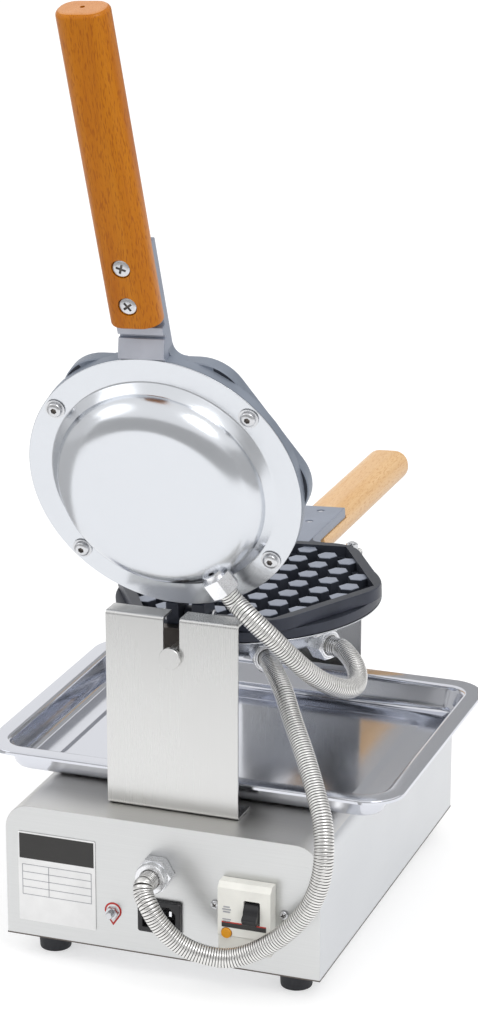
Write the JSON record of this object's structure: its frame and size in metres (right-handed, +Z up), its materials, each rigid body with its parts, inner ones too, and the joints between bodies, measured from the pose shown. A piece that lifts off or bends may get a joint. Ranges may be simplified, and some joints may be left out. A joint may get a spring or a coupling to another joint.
{
  "type": "rotating waffle maker",
  "caption": "Hinged pair of honeycomb waffle irons with wooden handles, turning on brackets over a drip tray and a flat steel casing with its switch, mains inlet and conduits.",
  "frame": {"origin": "on the standing surface, below the middle of the object's box without its conduits", "axes": "+Z up, +Y towards the back panel with the mains inlet and the hinge, -Y towards the lower handle and the knobs, +X to the right seen from the front"},
  "size_m": [0.3042, 0.5832, 0.6751],
  "materials": {
    "satin_steel": "satin",
    "polished_steel": "polished",
    "cast_iron": "coated, satin",
    "plated_steel": "plated",
    "dark_steel": "heat-darkened",
    "red_wood": "varnished beech",
    "pale_wood": "varnished beech",
    "black_plastic": "moulded",
    "cream_plastic": "moulded",
    "orange_plastic": "moulded",
    "green_lens": "clear",
    "amber_lens": "clear",
    "white_film": "matt",
    "rubber": "moulded",
    "fibre_pad": "ceramic fibre",
    "copper": "bright"
  },
  "bodies": {
    "base": {"casing": "satin_steel", "bottom_plate": "satin_steel", "rubber_foot_1": "rubber", "rubber_foot_2": "rubber", "rubber_foot_3": "rubber", "rubber_foot_4": "rubber", "rear_bracket": "satin_steel", "front_bracket": "satin_steel", "front_cradle": "satin_steel", "cradle_bolt_1": "plated_steel", "cradle_bolt_2": "plated_steel", "power_inlet": "black_plastic", "breaker_case": "cream_plastic", "breaker_screw_1": "plated_steel", "breaker_screw_2": "plated_steel", "earth_stud": "plated_steel", "rating_label": "white_film", "base_gland": "plated_steel", "thermostat_body": "dark_steel", "timer_body": "dark_steel", "lamp_green": "green_lens", "lamp_amber": "amber_lens", "terminal_block": "cream_plastic", "conduit_base": "plated_steel"},
    "tray": {"drip_tray": "polished_steel"},
    "thermostat_control": {"thermostat_knob": "black_plastic"},
    "timer_control": {"timer_knob": "black_plastic"},
    "breaker_lever": {"breaker_toggle": "black_plastic"},
    "test_button": {"breaker_test_button": "orange_plastic"},
    "lower_half": {"pivot_block": "dark_steel", "pivot_pin": "plated_steel", "hinge_pin": "plated_steel", "hinge_nut": "plated_steel", "lower_iron": "cast_iron", "lower_cover": "polished_steel", "lower_cover_screw_1": "plated_steel", "lower_cover_screw_2": "plated_steel", "lower_cover_screw_3": "plated_steel", "lower_cover_screw_4": "plated_steel", "lower_heater": "dark_steel", "lower_insulation": "fibre_pad", "lower_handle": "pale_wood", "lower_handle_screw_1": "plated_steel", "lower_handle_screw_2": "plated_steel", "lower_gland_1": "plated_steel", "lower_gland_2": "plated_steel", "thermostat_bulb": "copper", "conduit_irons": "plated_steel"},
    "upper_half": {"upper_iron": "cast_iron", "upper_cover": "polished_steel", "upper_cover_screw_1": "plated_steel", "upper_cover_screw_2": "plated_steel", "upper_cover_screw_3": "plated_steel", "upper_cover_screw_4": "plated_steel", "upper_heater": "dark_steel", "upper_insulation": "fibre_pad", "upper_handle": "red_wood", "upper_handle_screw_1": "plated_steel", "upper_handle_screw_2": "plated_steel", "upper_gland": "plated_steel"}
  },
  "joints": [
    {"name": "turn", "type": "hinge", "parent": "base", "child": "lower_half", "pos_m": [0, 0.18579, 0.227], "axis": [0, 1, 0], "range_deg": [-10, 18], "deforming": ["conduit_base"]},
    {"name": "open", "type": "hinge", "parent": "lower_half", "child": "upper_half", "pos_m": [0.00079, 0.15535, 0.24292], "axis": [0.9988, 0, -0.0497], "range_deg": [0, 105.3], "deforming": ["conduit_irons"]},
    {"name": "tray_slide", "type": "slide", "parent": "base", "child": "tray", "axis": [1, 0, 0], "range_m": [-0.3, 0.3]},
    {"name": "thermostat_turn", "type": "hinge", "parent": "base", "child": "thermostat_control", "pos_m": [0.052, -0.09701, 0.064], "axis": [0, 1, 0], "range_deg": [0, 270]},
    {"name": "timer_turn", "type": "hinge", "parent": "base", "child": "timer_control", "pos_m": [-0.052, -0.09701, 0.064], "axis": [0, 1, 0], "range_deg": [0, 270]},
    {"name": "breaker_switch", "type": "hinge", "parent": "base", "child": "breaker_lever", "pos_m": [-0.0695, 0.2284, 0.0655], "axis": [1, 0, 0], "range_deg": [0, 48]},
    {"name": "test_press", "type": "slide", "parent": "base", "child": "test_button", "axis": [0, -1, 0], "range_m": [0, 0.0015], "stiffness_N_per_m": 400, "springref_m": -0.002}
  ]
}
